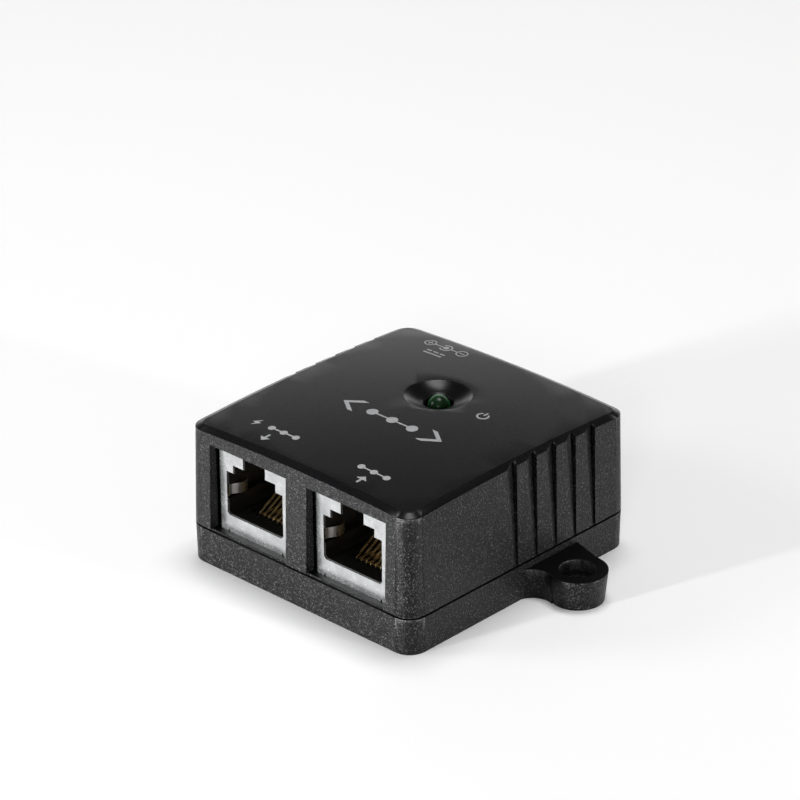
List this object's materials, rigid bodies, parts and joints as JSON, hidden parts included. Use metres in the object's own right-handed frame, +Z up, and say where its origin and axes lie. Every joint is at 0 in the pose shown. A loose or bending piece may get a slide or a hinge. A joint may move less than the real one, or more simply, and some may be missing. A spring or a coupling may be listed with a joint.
{
  "type": "poe injector",
  "caption": "Small square injector that adds power to a network cable, with modular jacks in front, a barrel power inlet behind, a status lamp on top and screw ears.",
  "frame": {"origin": "on the resting plane, at the centre of the case's outline", "axes": "+Z up, -Y out of the two modular jacks, +X to the right when facing the jacks"},
  "size_m": [0.0688, 0.05, 0.0246],
  "materials": {
    "case_plastic": "black moulded plastic, fine texture on the sides and satin on top",
    "jack_plastic": "black moulded insert",
    "shield_metal": "bright nickel-plated sheet",
    "contact_gold": "gold-plated wire",
    "tinned": "tinned metal",
    "screw_steel": "plated steel",
    "label_film": "matt film",
    "board": "green solder mask",
    "lamp_resin": "tinted clear resin",
    "spacer_nylon": "natural nylon",
    "chip_plastic": "moulded epoxy",
    "can_aluminium": "plain can",
    "sleeve_film": "shrunk sleeve",
    "ferrite": "sintered ferrite",
    "copper_wire": "enamelled copper wire",
    "ceramic": "fired ceramic"
  },
  "bodies": {
    "case": {"top_cover": "case_plastic", "base_tray": "case_plastic", "case_screws": "screw_steel", "rating_label": "label_film", "circuit_board": "board", "out_jack_housing": "jack_plastic", "out_jack_shield": "shield_metal", "out_jack_leads": "contact_gold", "in_jack_housing": "jack_plastic", "in_jack_shield": "shield_metal", "in_jack_leads": "contact_gold", "dc_jack_housing": "jack_plastic", "dc_center_pin": "tinned", "dc_terminals": "tinned", "status_lamp": "lamp_resin", "lamp_leads": "tinned", "lamp_spacer": "spacer_nylon", "lan_transformer": "chip_plastic", "transformer_legs": "tinned", "bulk_capacitor": "can_aluminium", "capacitor_sleeve": "sleeve_film", "inductor_core": "ferrite", "inductor_winding": "copper_wire", "controller_chip": "chip_plastic", "controller_legs": "tinned", "power_switch": "chip_plastic", "input_fuse": "ceramic", "surge_diode": "chip_plastic", "chip_capacitors": "ceramic", "chip_resistors": "chip_plastic"},
    "out_contacts": {"out_contact_springs": "contact_gold"},
    "in_contacts": {"in_contact_springs": "contact_gold"},
    "out_tab_left": {"out_ground_tab_left": "shield_metal"},
    "out_tab_right": {"out_ground_tab_right": "shield_metal"},
    "in_tab_left": {"in_ground_tab_left": "shield_metal"},
    "in_tab_right": {"in_ground_tab_right": "shield_metal"},
    "dc_sleeve": {"dc_sleeve_spring": "tinned"}
  },
  "joints": [
    {"name": "out_contacts_flex", "type": "hinge", "parent": "case", "child": "out_contacts", "pos_m": [-0.01045, -0.0186, 0.00845], "axis": [1, 0, 0], "range_deg": [-8, 0], "stiffness_Nm_per_rad": 0.02},
    {"name": "out_tab_left_flex", "type": "hinge", "parent": "case", "child": "out_tab_left", "pos_m": [-0.0169, -0.02256, 0.01315], "axis": [0, 0, 1], "range_deg": [0, 7], "stiffness_Nm_per_rad": 0.01},
    {"name": "out_tab_right_flex", "type": "hinge", "parent": "case", "child": "out_tab_right", "pos_m": [-0.004, -0.02256, 0.01315], "axis": [0, 0, 1], "range_deg": [-7, 0], "stiffness_Nm_per_rad": 0.01},
    {"name": "in_contacts_flex", "type": "hinge", "parent": "case", "child": "in_contacts", "pos_m": [0.01045, -0.0186, 0.00845], "axis": [1, 0, 0], "range_deg": [-8, 0], "stiffness_Nm_per_rad": 0.02},
    {"name": "in_tab_left_flex", "type": "hinge", "parent": "case", "child": "in_tab_left", "pos_m": [0.004, -0.02256, 0.01315], "axis": [0, 0, 1], "range_deg": [0, 7], "stiffness_Nm_per_rad": 0.01},
    {"name": "in_tab_right_flex", "type": "hinge", "parent": "case", "child": "in_tab_right", "pos_m": [0.0169, -0.02256, 0.01315], "axis": [0, 0, 1], "range_deg": [-7, 0], "stiffness_Nm_per_rad": 0.01},
    {"name": "dc_sleeve_flex", "type": "hinge", "parent": "case", "child": "dc_sleeve", "pos_m": [-0.0109, 0.01325, 0.0091], "axis": [1, 0, 0], "range_deg": [-5, 0], "stiffness_Nm_per_rad": 0.02}
  ]
}
